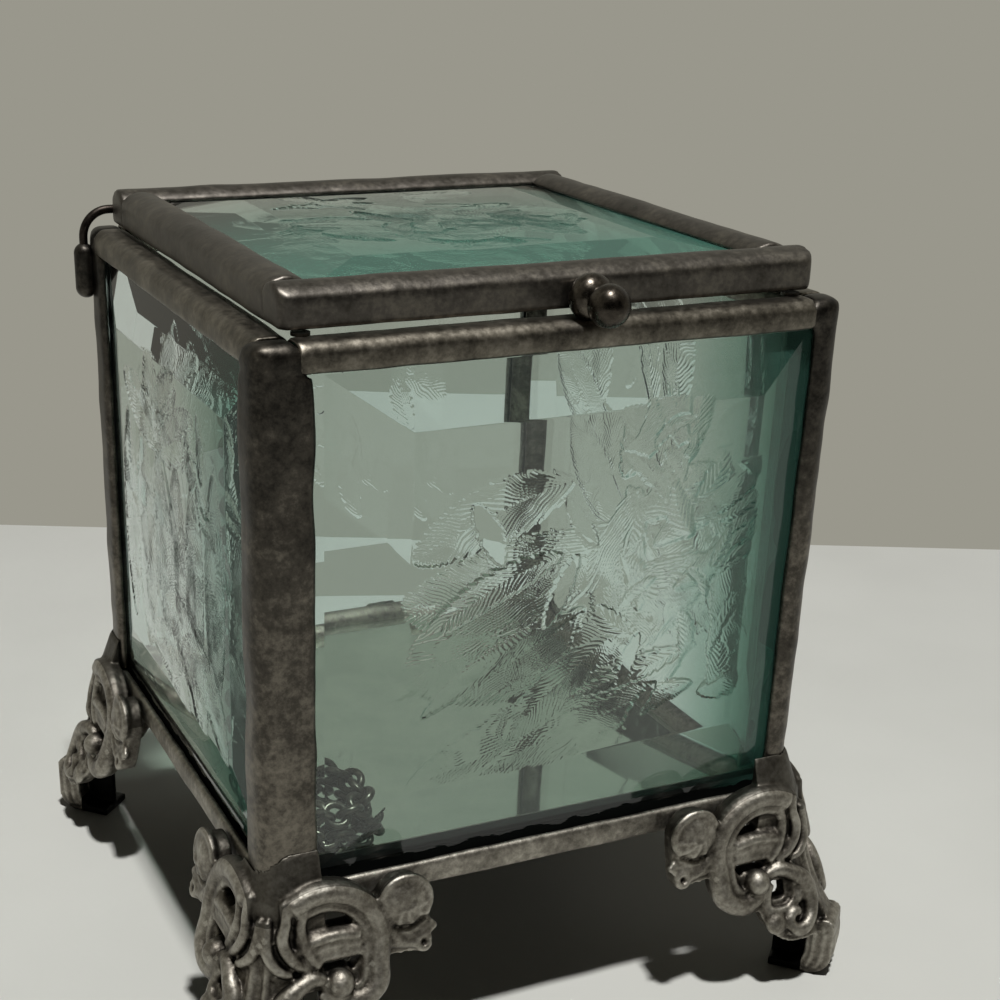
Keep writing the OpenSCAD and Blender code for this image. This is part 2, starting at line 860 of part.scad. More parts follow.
hinge_solder(0);  // hinge_solder_right
lid_pane();
lid_came_front();
lid_came_side(1);  // lid_came_right
lid_came_rear();
lid_came_side(3);  // lid_came_left
hinge_tube();
knob_collar();
knob_ball();
stay_chain();
chain_solder();
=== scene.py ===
import math

import bpy
import numpy as np
from mathutils import Matrix, Vector


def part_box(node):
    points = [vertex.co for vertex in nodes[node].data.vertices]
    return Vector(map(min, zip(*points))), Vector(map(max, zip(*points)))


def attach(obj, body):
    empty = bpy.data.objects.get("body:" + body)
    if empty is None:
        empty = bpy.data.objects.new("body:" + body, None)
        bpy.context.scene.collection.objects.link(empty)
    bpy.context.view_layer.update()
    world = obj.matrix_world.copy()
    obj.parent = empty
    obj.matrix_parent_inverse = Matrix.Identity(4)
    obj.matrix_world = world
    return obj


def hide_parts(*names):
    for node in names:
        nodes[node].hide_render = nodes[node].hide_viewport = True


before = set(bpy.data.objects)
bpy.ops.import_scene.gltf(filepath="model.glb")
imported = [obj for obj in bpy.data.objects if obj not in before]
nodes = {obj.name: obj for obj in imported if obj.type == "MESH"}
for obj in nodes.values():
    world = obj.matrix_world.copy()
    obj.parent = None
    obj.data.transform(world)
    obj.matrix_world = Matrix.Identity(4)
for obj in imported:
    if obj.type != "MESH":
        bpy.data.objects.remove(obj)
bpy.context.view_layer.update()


# Wall panes: four 3 inch squares of plate glass. Drying glue tore feathery
# flakes off their faces, and four bevels were ground through them afterwards.
# They stand pinwheel fashion, each with its left end against its neighbour.
mm = 0.001
pane_low, pane_high = np.array(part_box("pane_front")) / mm
pane_start, pane_foot = pane_low[0], pane_low[2]
pane_width, pane_height = pane_high[0] - pane_low[0], pane_high[2] - pane_low[2]
# How far the inner faces lie from the middle of the box
glass_in = -pane_high[1]
# Widths of the left, right, bottom and top bevels, and the flat's rise over
# the ground edge
wall_bevels = (14.3, 11.1, 14.2, 11.0)
wall_rise = 2.2
# Ground border outside the bevels, thickness there, and how far the looks
# lie outside the solid so that the two skins never coincide
pane_seat = 3.4
pane_edge = 3.0
skin_gap = 0.02
# Spacing of the grid on the flat, and of the barbs along a flake; how many
# barbs they waver and drift by; and how far the ripples are raised, since
# real ones are too fine to show
grid_step = 0.19
barb_pitch = 0.95
barb_waver = 0.8
barb_drift = 1.6
ripple_scale = 2.3


def linear(colour):
    """sRGB hex text to a linear colour with alpha one, by the sRGB curve."""
    parts = [int(colour[i:i + 2], 16) / 255 for i in (1, 3, 5)]
    return [p / 12.92 if p <= 0.04045 else ((p + 0.055) / 1.055) ** 2.4 for p in parts] + [1.0]


def new_material(name):
    """Empty node material; returns the material and its node tree."""
    material = bpy.data.materials.new(name)
    material.use_nodes = True
    material.node_tree.nodes.clear()
    return material, material.node_tree


def add(tree, kind, inputs=None, out=0, stops=(), **settings):
    """Adds one shader node. Inputs are values or sockets, by name or number;
    stops are a ramp's positions and hex colours. Returns the socket out."""
    node = tree.nodes.new("ShaderNode" + kind)
    for key, value in settings.items():
        setattr(node, key, value)
    for key, value in (inputs or {}).items():
        if isinstance(value, bpy.types.NodeSocket):
            tree.links.new(value, node.inputs[key])
        else:
            node.inputs[key].default_value = value
    for _ in stops[2:]:
        node.color_ramp.elements.new(0.5)
    for number, (position, colour) in enumerate(stops):
        node.color_ramp.elements[number].position = position
        node.color_ramp.elements[number].color = linear(colour)
    return node.outputs[out] if node.outputs else None


def glass_material(name, pale_from, green_from):
    """Soda-lime plate glass, ground and polished: a clear refracting surface,
    pale green of its own. On it is painted a deeper green that stands in for
    light run a long way through the glass: towards green_from along y, where
    the eye runs slanting along the glass, and at the right border, with a
    painted glow of lit diffuse green. Shadows pass it. The black back of the
    foil shows as a wavering line along the borders that the foil is folded over."""
    material, tree = new_material(name)
    place = add(tree, "TexCoord", out="Object")
    x, y, z = (add(tree, "SeparateXYZ", {"Vector": place}, out=axis) for axis in "XYZ")
    # Painted green: deeper towards green_from along y at slanting views and at the right border, standing in
    # for light that runs a long way inside the glass
    near = add(tree, "MapRange", {"Value": y, "From Min": pale_from * mm, "From Max": green_from * mm})
    facing = add(tree, "LayerWeight", {"Blend": 0.5}, out="Facing")
    slant = add(tree, "MapRange", {"Value": facing, "From Min": 0.3, "From Max": 0.6})
    painted_slant_green = add(tree, "Math", {0: near, 1: slant}, operation="MULTIPLY")
    right = add(tree, "MapRange", {"Value": x, "From Min": 27 * mm, "From Max": 34 * mm, "To Max": 0.7})
    painted_border_green = add(tree, "Math", {0: near, 1: right}, operation="MULTIPLY")
    depth = add(tree, "Math", {0: painted_slant_green, 1: painted_border_green}, operation="MAXIMUM")
    own_and_painted_greens = ((0.0, "#ebf6f3"), (0.4, "#b0d0c5"), (1.0, "#417a69"))
    colour = add(tree, "ValToRGB", {"Fac": depth}, stops=own_and_painted_greens)
    clear = add(tree, "BsdfPrincipled", {
        "Base Color": colour, "Roughness": 0.0, "IOR": 1.52, "Transmission Weight": 1.0,
    })
    # Painted glow: a diffuse green, lit by the lamps, stands in for the light that thick glass gathers inside
    # it
    body = add(tree, "BsdfDiffuse", {"Color": linear("#5f9483")})
    share = add(tree, "Math", {0: depth, 1: 0.3}, operation="MULTIPLY")
    with_painted_glow = add(tree, "MixShader", {0: share, 1: clear, 2: body})
    # The foil's edge wavers in and out over a millimetre or two
    waver = add(tree, "TexNoise", {"Vector": place, "Scale": 1 / (5 * mm), "Detail": 4.0, "Roughness": 0.55})
    fold = add(tree, "Math", {0: waver, 1: 3.4 * mm}, operation="MULTIPLY")
    above = add(tree, "Math", {0: z, 1: fold}, operation="SUBTRACT")
    low_line = add(tree, "Math", {0: above, 1: 29.7 * mm}, operation="LESS_THAN")
    x_size, y_size = (add(tree, "Math", {0: axis}, operation="ABSOLUTE") for axis in (x, y))
    along = add(tree, "Math", {0: x_size, 1: y_size}, operation="MINIMUM")
    outer = add(tree, "Math", {0: along, 1: fold}, operation="ADD")
    side_line = add(tree, "Math", {0: outer, 1: 39.5 * mm}, operation="GREATER_THAN")
    foil = add(tree, "Math", {0: low_line, 1: side_line}, operation="MAXIMUM")
    black = add(tree, "BsdfDiffuse", {"Color": linear("#101211")})
    edged = add(tree, "MixShader", {0: foil, 1: with_painted_glow, 2: black})
    shade = add(tree, "BsdfTransparent", {"Color": linear("#dfe6e2")})
    in_shadow = add(tree, "LightPath", out="Is Shadow Ray")
    surface = add(tree, "MixShader", {0: in_shadow, 1: edged, 2: shade})
    add(tree, "OutputMaterial", {"Surface": surface})
    return material


def unevenness(u, w, cell, seed):
    """Smooth random field from -1 to 1: random numbers on a lattice of that
    cell, joined by the smooth step of the way across each cell."""
    side, shift = 64, 7
    lattice = np.random.default_rng(seed).uniform(-1, 1, (side, side))
    a, b = u / cell + shift, w / cell + shift
    i, j = np.floor(a).astype(int), np.floor(b).astype(int)
    s, t = a - i, b - j
    s, t = s * s * (3 - 2 * s), t * t * (3 - 2 * t)
    i, j = i % (side - 1), j % (side - 1)
    low = lattice[i, j] * (1 - s) + lattice[i + 1, j] * s
    high = lattice[i, j + 1] * (1 - s) + lattice[i + 1, j + 1] * s
    return low * (1 - t) + high * t


def carve_flake(relief, u, w, flake, seed):
    """Sinks one flake into the relief. Along its bent spine runs s, across
    it t; inside its leaf-shaped outline, which is serrated by its barbs, the
    depth is a shallow scoop with cusped ripples along the barbs."""
    u0, w0, heading, length, width, bend, barb, depth, ripple = flake
    turn = math.radians(heading)
    along = (u - u0) * math.cos(turn) + (w - w0) * math.sin(turn)
    across = -(u - u0) * math.sin(turn) + (w - w0) * math.cos(turn)
    nearly_straight = 0.5
    radius = length / math.radians(bend if bend else nearly_straight)
    side = np.sign(radius)
    s = radius * np.arctan2(along * side, (radius - across) * side)
    t = radius - side * np.hypot(along, radius - across)
    share = np.clip(s / length, 0, 1)
    waver = unevenness(u, w, 2.1, seed)
    drift = unevenness(u, w, 5.0, seed + 1)
    barbs = (s - np.abs(t) / math.tan(math.radians(barb))) / barb_pitch
    lines = barbs + barb_waver * waver + barb_drift * drift
    serration = 0.78 + 0.22 * np.abs(np.sin(math.pi * lines * 0.62))
    half = 0.5 * width * np.sin(math.pi * share) ** 0.55 * serration + 1e-6
    inside = (s > 0) & (s < length) & (np.abs(t) < half)
    scoop = 1 - 0.55 * (t / half) ** 2
    cusps = 1 - np.abs(np.sin(math.pi * lines))
    height = -depth * scoop - ripple_scale * ripple * cusps * (0.6 + 0.4 * waver)
    return np.where(inside, height, relief)


def ruled_lines(low_bevel, high_bevel, size):
    """Lines across a pane: few on the bevels, one every grid_step on the flat."""
    # Shares of the way up a bevel, close together where the flakes cut it
    ways = np.concatenate(([0.0, 0.3, 0.6], np.linspace(0.84, 1.0, 9)))
    count = round((size - low_bevel - high_bevel) / grid_step)
    flat = np.linspace(low_bevel, size - high_bevel, count + 1)[1:-1]
    low = pane_seat + (low_bevel - pane_seat) * ways
    high = size - pane_seat - (high_bevel - pane_seat) * ways[::-1]
    return np.concatenate(([0.0], low, flat, high, [size]))


def pane_mesh(name, width, height, bevels, rise, flakes, seed, place, look):
    """Closed pane: its face is the lower of the chipped flat and the four
    bevel planes over a grid of u and w, its back is flat. place turns the
    arrays u, w and the height over the back into x, y and z."""
    left, right, bottom, top = bevels
    u, w = np.meshgrid(ruled_lines(left, right, width), ruled_lines(bottom, top, height), indexing="ij")
    relief = np.zeros_like(u)
    for number, flake in enumerate(flakes):
        relief = carve_flake(relief, u, w, flake, seed + number)
    way = np.minimum.reduce([
        (u - pane_seat) / (left - pane_seat), (width - pane_seat - u) / (right - pane_seat),
        (w - pane_seat) / (bottom - pane_seat), (height - pane_seat - w) / (top - pane_seat),
    ])
    bevel = pane_edge + rise * way
    face = np.maximum(np.minimum(pane_edge + rise + relief, bevel), pane_edge) + skin_gap
    u = u + skin_gap * np.sign(u - width / 2) * ((u == 0) | (u == width))
    w = w + skin_gap * np.sign(w - height / 2) * ((w == 0) | (w == height))
    nu, nw = u.shape
    # The grid's border, walked round once, carries the four sides and the back
    ring = np.concatenate((
        np.arange(nu - 1) * nw, (nu - 1) * nw + np.arange(nw - 1),
        nu * nw - 1 - np.arange(nu - 1) * nw, nw - 1 - np.arange(nw - 1),
    ))
    points = np.concatenate((
        np.stack(place(u.ravel(), w.ravel(), face.ravel()), axis=1),
        np.stack(place(u.ravel()[ring], w.ravel()[ring], np.full(len(ring), -skin_gap)), axis=1),
    ))
    # Each cell is cut along the diagonal that runs to the nearest corner
    a = np.arange(nu - 1)[:, None] * nw + np.arange(nw - 1)[None, :]
    b, c, d = a + nw, a + nw + 1, a + 1
    rising = (np.arange(nu - 1)[:, None] < nu // 2) == (np.arange(nw - 1)[None, :] < nw // 2)
    first = np.where(rising[..., None], np.stack((a, b, c), -1), np.stack((a, b, d), -1))
    second = np.where(rising[..., None], np.stack((a, c, d), -1), np.stack((b, c, d), -1))
    triangles = np.stack((first, second), axis=2).reshape(-1, 3)
    back = nu * nw + np.arange(len(ring))
    walls = np.stack((np.roll(ring, -1), ring, back, np.roll(back, -1)), axis=1)
    faces = triangles.tolist() + walls.tolist() + [back[::-1].tolist()]
    mesh = bpy.data.meshes.new(name)
    mesh.from_pydata(points * mm, [], faces)
    # The flat is shaded smooth; the polished bevels keep their crisp edges
    near_flat = 0.86
    flat = (way > near_flat)[:-1, :-1] & (way > near_flat)[1:, 1:]
    smooth = np.zeros(len(faces), dtype=bool)
    smooth[:len(triangles)] = np.repeat(flat.ravel(), 2)
    mesh.polygons.foreach_set("use_smooth", smooth)
    mesh.materials.append(look)
    pane = bpy.data.objects.new(name, mesh)
    bpy.context.scene.collection.objects.link(pane)
    return pane


def wall_place(turns):
    """Places a wall pane: u runs to the right seen from outside, w up."""
    def place(u, w, n):
        """Stands the pane at the front, then turns it by quarters about z."""
        x, y = u + pane_start, -glass_in - n
        for _ in range(turns):
            x, y = -y, x
        return x, y, w + pane_foot
    return place


def scattered_flakes(seed, count, low, high, heading, spread, size):
    """Random flakes in a rectangle, fanned about a heading, larger ones first."""
    draw = np.random.default_rng(seed)
    rows = []
    for share in np.linspace(1.0, 0.35, count):
        u0, w0 = draw.uniform(low, high)
        length = size * share * draw.uniform(0.7, 1.2)
        rows.append((
            u0, w0, heading + draw.normal(0, spread), length, length * draw.uniform(0.22, 0.5),
            draw.uniform(-80, 80), draw.uniform(16, 40), draw.uniform(0.02, 0.3), draw.uniform(0.03, 0.1),
        ))
    return rows


# Each flake is its start (u, w), heading, length, width, bend, barb angle,
# depth and ripple height. A flake without ripples is a smooth shard.
front_flakes = [
    (40, 33, 175, 27, 17, 25, 20, 0.10, 0.09),
    (46, 46, 205, 34, 13, -30, 24, 0.16, 0.08),
    (60, 40, 200, 26, 12, 20, 18, 0.12, 0.07),
    (56, 27, 205, 44, 13, -15, 22, 0.15, 0.09),
    (37, 54, 190, 24, 9, 20, 30, 0.10, 0.07),
    (47, 52, 250, 22, 8, 25, 25, 0.20, 0.06),
    (63, 48, 265, 26, 6, 15, 20, 0.14, 0.08),
    (44, 31, 215, 20, 7, 10, 30, 0.26, 0.08),
    (58, 22, 188, 34, 6, 12, 24, 0.20, 0.07),
    (36, 44, 192, 22, 5, 25, 35, 0.06, 0.05),
    (40, 36, 196, 27, 4, 22, 14, 0.24, 0.05),
    (58, 28, 198, 20, 3.4, -8, 40, 0.05, 0.06),
    (22.7, 52.6, -56, 10, 3.6, -14, 30, 0.02, 0.0),
    (38.4, 43.8, -118, 11, 3.0, 8, 30, 0.03, 0.0),
    (48.6, 31.0, -112, 8.5, 2.6, 6, 30, 0.02, 0.0),
    (36, 52, -60, 9, 2.6, 10, 30, 0.04, 0.0),
    (52, 23, -130, 8, 2.4, 8, 30, 0.03, 0.0),
] + scattered_flakes(seed=31, count=30, low=(44, 20), high=(63, 60), heading=60, spread=45, size=16)
right_flakes = [
    (51, 34, 84, 22, 8, 6, 34, 0.14, 0.09),
    (36, 40, 80, 20, 6, -8, 30, 0.16, 0.09),
    (31, 41, 94, 20, 8, 6, 38, 0.12, 0.10),
    (57, 30, 92, 16, 6, 0, 30, 0.12, 0.09),
    (44, 26, 20, 26, 12, 30, 24, 0.14, 0.08),
    (44, 26, 190, 24, 12, -24, 24, 0.16, 0.08),
    (50, 34, 205, 34, 5, 40, 18, 0.20, 0.05),
    (22, 44, 265, 26, 10, -20, 26, 0.16, 0.09),
    (17, 38, 275, 22, 6, 15, 22, 0.22, 0.08),
    (44, 26, 240, 16, 7, 10, 24, 0.10, 0.07),
    (30, 26, 200, 14, 6, 30, 24, 0.14, 0.07),
    (44, 26, 130, 14, 6, 10, 24, 0.16, 0.08),
    (40, 48, -70, 9, 2.6, 10, 30, 0.03, 0.0),
]
rear_flakes = [
    (28, 36, -14, 13, 1.6, 30, 40, 0.10, 0.05),
    (21, 26, 100, 14, 1.6, -35, 40, 0.12, 0.05),
    (22, 30, 200, 12, 5, 20, 30, 0.08, 0.05),
    (20, 20, 60, 12, 4, 30, 26, 0.12, 0.05),
] + scattered_flakes(seed=5, count=26, low=(34, 16), high=(62, 58), heading=80, spread=60, size=14)
left_flakes = [
    (34, 50, 275, 36, 10, 8, 16, 0.16, 0.10),
    (43, 50, 268, 36, 10, -8, 16, 0.14, 0.10),
    (52, 52, 262, 38, 9, 6, 18, 0.18, 0.10),
    (60, 54, 270, 34, 9, -6, 20, 0.18, 0.10),
    (26, 50, 272, 34, 11, -6, 16, 0.14, 0.10),
    (19, 52, 265, 34, 8, 6, 18, 0.16, 0.10),
    (34, 50, 100, 14, 9, 12, 28, 0.12, 0.10),
    (34, 50, 60, 16, 9, -12, 28, 0.16, 0.10),
    (34, 50, 20, 20, 8, 14, 28, 0.14, 0.09),
    (34, 50, 150, 18, 8, 14, 28, 0.14, 0.09),
    (52, 12, 92, 26, 10, 95, 20, 0.20, 0.06),
    (44, 10, 95, 22, 9, 120, 20, 0.18, 0.06),
    (62, 12, 100, 26, 9, 110, 20, 0.22, 0.06),
    (37, 49, 296, 15, 1.4, 10, 20, 0.25, 0.0),
] + scattered_flakes(seed=9, count=14, low=(42, 40), high=(63, 62), heading=250, spread=70, size=11)

wall_glass = glass_material("bevelled_glass", pale_from=-8, green_from=-30)
sides = ("front", "right", "rear", "left")
for turns, (side, flakes) in enumerate(zip(sides, (front_flakes, right_flakes, rear_flakes, left_flakes))):
    node = "pane_" + side
    pane = pane_mesh(
        node + "_chipped", pane_width, pane_height, wall_bevels, wall_rise, flakes,
        seed=100 * turns, place=wall_place(turns), look=wall_glass,
    )
    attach(pane, "casket")
    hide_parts(node)


# Corner posts: tin-lead solder run down each corner over copper foil, a bead
# outside, a seam between two panes and a bead inside. Patina darkened it; its
# colour is shifted by height too, darker towards the top and paler towards the
# foot. The front left post is swollen and lumpy.
def band_mask(tree, place, inner, outer, low, high):
    """One where the larger of |x| and |y| lies between inner and outer, and z
    between low and high, all in millimetres."""
    x, y, z = (add(tree, "SeparateXYZ", {"Vector": place}, out=axis) for axis in "XYZ")
    x_size, y_size = (add(tree, "Math", {0: axis}, operation="ABSOLUTE") for axis in (x, y))
    reach = add(tree, "Math", {0: x_size, 1: y_size}, operation="MAXIMUM")
    tests = []
    for value, from_mm, to_mm in ((reach, inner, outer), (z, low, high)):
        middle, half = (from_mm + to_mm) / 2 * mm, (to_mm - from_mm) / 2 * mm
        tests.append(add(tree, "Math", {0: value, 1: middle, 2: half}, operation="COMPARE"))
    return add(tree, "Math", {0: tests[0], 1: tests[1]}, operation="MULTIPLY")


# Where the solder is glued to the glass: how far out, from and to, and the
# lowest and highest place
wall_foil = (36.7, 39.9, 29.0, 102.95)


def solder_material(name, colours, rough=0.42, pit=0.25, foil=wall_foil, foot_paler=0.0):
    """Dark patinated solder. Blotches 7 mm and flecks 1 mm across choose among
    its dark, middle and pale colours; flowed waves and fine pits make its
    relief. Its colour is also shifted by height alone, paler towards the foot
    and darker towards the top, by the given amount. Where it is glued to the
    glass, the foil's black back shows."""
    material, tree = new_material(name)
    place = add(tree, "TexCoord", out="Object")
    blotch = add(tree, "TexNoise", {
        "Vector": place, "Scale": 1 / (7 * mm), "Detail": 6.0, "Roughness": 0.62,
    })
    fleck = add(tree, "TexNoise", {
        "Vector": place, "Scale": 1 / (1.1 * mm), "Detail": 5.0, "Roughness": 0.7,
    })
    both = add(tree, "Math", {0: blotch, 1: fleck}, operation="ADD")
    # The colour level shifts with height alone: paler towards the foot, darker towards the top
    level_shift = add(tree, "MapRange", {
        "Value": add(tree, "SeparateXYZ", {"Vector": place}, out="Z"),
        "From Min": 100 * mm, "From Max": 30 * mm, "To Min": -foot_paler, "To Max": foot_paler,
    })
    level = add(tree, "Math", {0: both, 1: 0.5, 2: level_shift}, operation="MULTIPLY_ADD")
    colour = add(tree, "ValToRGB", {"Fac": level}, stops=tuple(zip((0.33, 0.5, 0.66), colours)))
    wave = add(tree, "TexNoise", {
        "Vector": place, "Scale": 1 / (6 * mm), "Detail": 3.0, "Roughness": 0.55,
    })
    grain = add(tree, "TexNoise", {
        "Vector": place, "Scale": 1 / (0.35 * mm), "Detail": 4.0, "Roughness": 0.65,
    })
    flow = add(tree, "Bump", {"Height": wave, "Strength": 0.35, "Distance": 0.5 * mm})
    relief = add(tree, "Bump", {"Height": grain, "Strength": pit, "Distance": 0.08 * mm, "Normal": flow})
    gloss = add(tree, "MapRange", {"Value": fleck, "To Min": rough - 0.14, "To Max": rough + 0.16})
    metal = add(tree, "BsdfPrincipled", {
        "Base Color": colour, "Metallic": 1.0, "Roughness": gloss, "Normal": relief,
    })
    black = add(tree, "BsdfPrincipled", {"Base Color": linear("#0d0e0d"), "Roughness": 0.6})
    surface = add(tree, "MixShader", {0: band_mask(tree, place, *foil), 1: metal, 2: black})
    add(tree, "OutputMaterial", {"Surface": surface})
    return material


def skin(name):
    """Points in millimetres and triangles of a solid, its doubles merged."""
    data = nodes[name].data
    points = np.empty(len(data.vertices) * 3)
    data.vertices.foreach_get("co", points)
    corners = np.empty(len(data.loops), dtype=int)
    data.loops.foreach_get("vertex_index", corners)
    merged, index = np.unique((points.reshape(-1, 3) / mm).round(4), axis=0, return_inverse=True)
    faces = index.reshape(-1)[corners].reshape(-1, 3)
    a, b, c = faces.T
    whole = (a != b) & (b != c) & (c != a)
    return merged, faces[whole].tolist()


flow_grid = 0.4 * mm
lump_field = bpy.data.textures.new("lumps", "CLOUDS")
lump_field.noise_scale = 8 * mm
lump_field.noise_depth = 1


def flowed(name, material, body, longer=0.0, rounds=8, lumps=0.25):
    """Solder flows before it sets: the solid's own skin, lengthened into its
    neighbours, is remeshed on a fine grid, smoothed so that its edges round
    off, and raised in lumps."""
    points, faces = skin(name)
    length = np.ptp(points, axis=0)
    middle = (points.max(axis=0) + points.min(axis=0)) / 2
    stretch = np.where(length == length.max(), 1 + 2 * longer / length, 1)
    mesh = bpy.data.meshes.new(name + "_flowed")
    mesh.from_pydata((middle + (points - middle) * stretch) * mm, [], faces)
    mesh.materials.append(material)
    piece = bpy.data.objects.new(name + "_flowed", mesh)
    bpy.context.scene.collection.objects.link(piece)
    remesh = piece.modifiers.new("grid", "REMESH")
    remesh.mode = "VOXEL"
    remesh.voxel_size = flow_grid
    remesh.use_smooth_shade = True
    soften = piece.modifiers.new("soften", "SMOOTH")
    soften.factor = 0.5
    soften.iterations = rounds
    raised = piece.modifiers.new("lumps", "DISPLACE")
    raised.texture = lump_field
    raised.texture_coords = "LOCAL"
    raised.strength = lumps * mm
    raised.mid_level = 0.5
    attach(piece, body)
    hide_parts(name)


solder = solder_material(
    "patinated_solder", ("#2b2926", "#4d4943", "#7d776d"), rough=0.4, pit=0.2, foot_paler=0.1,
)
corner_names = ("front_left", "front_right", "rear_right", "rear_left")
for corner in corner_names:
    flowed("post_" + corner, solder, "casket", rounds=24, lumps=0.5)


# Top and bottom rims: solder run along the panes' edges, smooth above, and
# rough, pitted and rubbed pale below, where it also makes the sill under the
# glass and the ledge under the mirror.
# Painted light: the top rims take their own paler copy of the solder, lightened to offset the shade the lid
# casts on them
lightened_top_solder = solder_material("rim_solder", ("#37342f", "#68635a", "#8f897e"), rough=0.4, pit=0.2)
rim_solder = solder_material("bottom_solder", ("#4a4640", "#88837a", "#b9b4a9"), rough=0.5, pit=0.6)
# How far a length runs on into the pieces at its ends
run_in = 0.8
for side in sides:
    flowed("top_rim_" + side, lightened_top_solder, "casket", longer=run_in)
    flowed("bottom_rim_" + side, rim_solder, "casket")


# Mirror floor: a square of float glass, silvered and painted underneath. It
# lies on the rim's ledges, and a quarter bead of solder along each wall
# holds it down.
def mirror_material():
    """Silvered mirror: a slightly green reflection, a haze of wear in its
    roughness, and matt paint over the silver on the underside."""
    material, tree = new_material("mirror_glass")
    place = add(tree, "TexCoord", out="Object")
    haze = add(tree, "TexNoise", {"Vector": place, "Scale": 1 / (9 * mm), "Detail": 5.0, "Roughness": 0.55})
    silver = add(tree, "BsdfPrincipled", {
        "Base Color": add(tree, "ValToRGB", {"Fac": haze}, stops=((0.35, "#ccd9d0"), (0.65, "#d8e3da"))),
        "Roughness": add(tree, "MapRange", {"Value": haze, "To Min": 0.02, "To Max": 0.07}),
        "Metallic": 1.0,
    })
    paint = add(tree, "BsdfPrincipled", {
        "Base Color": add(tree, "ValToRGB", {"Fac": haze}, stops=((0.35, "#1f2120"), (0.65, "#2b2d2b"))),
        "Roughness": 0.8,
    })
    height = add(tree, "SeparateXYZ", {"Vector": place}, out="Z")
    # The paint covers the underside and the lowest fifth of a millimetre
    painted_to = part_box("mirror_floor")[0][2] + 0.2 * mm
    painted = add(tree, "Math", {0: height, 1: painted_to}, operation="LESS_THAN")
    surface = add(tree, "MixShader", {0: painted, 1: silver, 2: paint})
    add(tree, "OutputMaterial", {"Surface": surface})
    return material


def finish_nodes(start, material):
    """Gives the solids whose names begin so that material."""
    for name, piece in nodes.items():
        if name.startswith(start):
            piece.data.materials.clear()
            piece.data.materials.append(material)


finish_nodes("mirror_floor", mirror_material())
finish_nodes("inner_seam_", solder)


# The feet: four openwork castings in grey pewter, each folded round its
# corner and soldered to its post: a collar, a ring scroll with bars and a
# ball, a volute, a shell leaf and a fluted hollow toe.
cast_grid = 0.26 * mm
# The sheet bends round this axis near the corner, and leans out below
# lean_from along a circle whose middle is lean_middle from the box's middle
sheet_axis = 39.8
sheet_corner = 1.5
lean_radius = 50.0
lean_from = 33.5
lean_middle = 93.6
# Half the width over the posts, from which a wing is measured inwards
post_out = 41.3
# The casting is cut off here, inside the solids' box and clear of the table
foot_reach = 50.8
foot_lift = 0.05


def smooth_path(rows):
    """Curve through rows of numbers, a cubic from row to row: its slope at a
    row is half the way from the row before to the row after."""
    steps = 6
    p = np.array(rows, dtype=float)
    padded = np.vstack((2 * p[0] - p[1], p, 2 * p[-1] - p[-2]))
    t = np.linspace(0, 1, steps, endpoint=False)[None, :, None]
    a, b, c, d = (padded[i:len(p) - 1 + i][:, None] for i in range(4))
    curve = b + 0.5 * t * (c - a + t * (2 * a - 5 * b + 4 * c - d + t * (3 * b - a - 3 * c + d)))
    return np.vstack((curve.reshape(-1, p.shape[1]), p[-1]))


def on_foot(c, z, n):
    """Lays points drawn on a flat wing onto the foot: c runs in from the
    corner and bends round it, z is the height, n stands out from the face,
    which leans out below along a circle."""
    lean = np.arcsin((lean_from - z) / lean_radius)
    reach = lean_middle - lean_radius * np.cos(lean) - sheet_axis
    turn = np.clip((sheet_corner - c) / reach, 0, math.pi / 4)
    out = reach + n * np.cos(lean)
    x = np.maximum(c - sheet_corner, 0) - sheet_axis - out * np.sin(turn)
    return np.stack((x, -sheet_axis - out * np.cos(turn), z + n * np.sin(lean)), axis=-1)


def on_toe(t, z, n):
    """Lays points onto the toe: t runs across it, z is the height and n is
    the distance out along the diagonal from the middle of the box."""
    return np.stack(((t - n) / math.sqrt(2), (-t - n) / math.sqrt(2), z), axis=-1)


def shell(points):
    """Closes a grid of rings into a tube: its points, its quads and its two ends."""
    rings, count = points.shape[:2]
    start = np.arange(rings - 1)[:, None] * count
    here = np.arange(count)[None, :]
    after = (here + 1) % count
    quads = np.stack((start + here, start + after, start + count + after, start + count + here), axis=-1)
    ends = [list(range(count))[::-1], list(range((rings - 1) * count, rings * count))]
    return points.reshape(-1, 3), quads.reshape(-1, 4).tolist() + ends


def tube(rows, lay):
    """Round strand along a smooth path: a circle of its radius, square to the
    path. Each row is a place across, a height, a stand-off and a radius; the
    ends run on by four fifths of a radius and close to a point."""
    facets, run_on, point = 12, 0.8, 0.05
    path = smooth_path(rows)
    back, forward = path[0] - path[1], path[-1] - path[-2]
    first = path[0] + back / np.hypot(*back[:2]) * path[0, 3] * run_on
    last = path[-1] + forward / np.hypot(*forward[:2]) * path[-1, 3] * run_on
    first[3] = last[3] = point
    path = np.vstack((first, path, last))
    way = np.gradient(path[:, :2], axis=0)
    way /= np.linalg.norm(way, axis=1, keepdims=True)
    around = np.linspace(0, 2 * math.pi, facets, endpoint=False)
    beside = path[:, 3:4] * np.cos(around)
    c = path[:, 0:1] - way[:, 1:2] * beside
    z = path[:, 1:2] + way[:, 0:1] * beside
    return shell(lay(c, z, path[:, 2:3] + path[:, 3:4] * np.sin(around)))


def boss(c, z, n, wide, tall, thick):
    """Ellipsoid laid on the foot: latitude by longitude, its poles out and in."""
    parallels, meridians = 11, 20
    up = np.linspace(-math.pi / 2, math.pi / 2, parallels)[:, None]
    around = np.linspace(0, 2 * math.pi, meridians, endpoint=False)[None, :]
    return shell(on_foot(
        c + wide * np.cos(up) * np.cos(around), z + tall * np.cos(up) * np.sin(around),
        n + thick * np.sin(up) + 0 * around,
    ))


